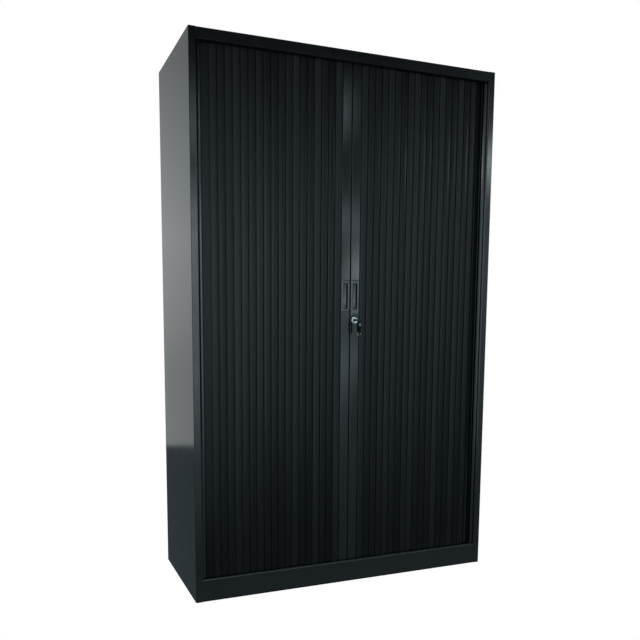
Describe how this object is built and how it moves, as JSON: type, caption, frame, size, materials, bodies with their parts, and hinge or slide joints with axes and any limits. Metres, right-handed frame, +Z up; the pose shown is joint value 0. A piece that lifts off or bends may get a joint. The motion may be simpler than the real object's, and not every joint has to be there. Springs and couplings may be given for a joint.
{
  "type": "roll front tool cabinet",
  "caption": "Tall steel cabinet for tools, with two slatted curtains that meet in the middle and roll back round the corners, flush pulls and a cylinder lock with a folding key.",
  "frame": {"origin": "on the floor, under the middle of the carcass", "axes": "+Z up, -Y towards the front with the curtains, +X to the right as seen from the front"},
  "size_m": [1.2, 0.532, 1.95],
  "materials": {
    "carcass": "satin black powder coat",
    "slat_plastic": "fine matt black extrusion",
    "handle_plastic": "matt black moulding",
    "track_plastic": "smooth black sliding plastic",
    "moulded_plastic": "black moulding",
    "chrome": "bright plated die casting",
    "zinc_steel": "zinc plated",
    "rubber": "matt black rubber"
  },
  "bodies": {
    "cabinet": {"back_panel": "carcass", "ceiling_pan": "carcass", "centre_stops": "track_plastic", "curtain_end_left": "slat_plastic", "curtain_end_right": "slat_plastic", "curtain_left": "slat_plastic", "curtain_right": "slat_plastic", "deck": "carcass", "floor_pan": "carcass", "foot_nuts": "zinc_steel", "inner_back": "carcass", "plinth": "carcass", "shelf_1": "carcass", "shelf_2": "carcass", "shelf_3": "carcass", "shelf_4": "carcass", "shelf_clips_1": "zinc_steel", "shelf_clips_2": "zinc_steel", "shelf_clips_3": "zinc_steel", "shelf_clips_4": "zinc_steel", "side_liner_left": "carcass", "side_liner_right": "carcass", "side_panel_left": "carcass", "side_panel_right": "carcass", "top_panel": "carcass", "track_bottom_left": "track_plastic", "track_bottom_right": "track_plastic", "track_top_left": "track_plastic", "track_top_right": "track_plastic"},
    "door_left": {"stile_left": "slat_plastic", "handle_left": "handle_plastic", "stile_glides_left": "moulded_plastic", "stile_buffer_left": "rubber", "lock_keeper": "zinc_steel"},
    "door_right": {"stile_right": "slat_plastic", "handle_right": "handle_plastic", "stile_glides_right": "moulded_plastic", "stile_buffer_right": "rubber", "lock_housing": "chrome", "lock_nut": "zinc_steel"},
    "lock": {"lock_core": "chrome", "lock_cam": "zinc_steel", "key_blade": "chrome", "key_pin": "zinc_steel"},
    "key_head": {"key_collar": "chrome", "key_grip": "moulded_plastic", "key_ring": "zinc_steel"},
    "foot_left_front": {"foot_stud_left_front": "zinc_steel", "foot_pad_left_front": "rubber"},
    "foot_left_rear": {"foot_stud_left_rear": "zinc_steel", "foot_pad_left_rear": "rubber"},
    "foot_right_front": {"foot_stud_right_front": "zinc_steel", "foot_pad_right_front": "rubber"},
    "foot_right_rear": {"foot_stud_right_rear": "zinc_steel", "foot_pad_right_rear": "rubber"}
  },
  "joints": [
    {"name": "left_curtain", "type": "slide", "parent": "cabinet", "child": "door_left", "axis": [-1, 0, 0], "range_m": [0, 0.4914], "deforming": ["curtain_left", "curtain_end_left"]},
    {"name": "right_curtain", "type": "slide", "parent": "cabinet", "child": "door_right", "axis": [1, 0, 0], "range_m": [0, 0.4914], "deforming": ["curtain_right", "curtain_end_right"]},
    {"name": "lock_turn", "type": "hinge", "parent": "door_right", "child": "lock", "pos_m": [0.0195, -0.2375, 1.002], "axis": [0, 1, 0], "range_deg": [0, 90]},
    {"name": "key_fold", "type": "hinge", "parent": "lock", "child": "key_head", "pos_m": [0.0195, -0.272, 1.002], "axis": [-1, 0, 0], "range_deg": [0, 180]},
    {"name": "level_left_front", "type": "slide", "parent": "cabinet", "child": "foot_left_front", "axis": [0, 0, -1], "range_m": [0, 0.015]},
    {"name": "level_left_rear", "type": "slide", "parent": "cabinet", "child": "foot_left_rear", "axis": [0, 0, -1], "range_m": [0, 0.015]},
    {"name": "level_right_front", "type": "slide", "parent": "cabinet", "child": "foot_right_front", "axis": [0, 0, -1], "range_m": [0, 0.015]},
    {"name": "level_right_rear", "type": "slide", "parent": "cabinet", "child": "foot_right_rear", "axis": [0, 0, -1], "range_m": [0, 0.015]}
  ]
}
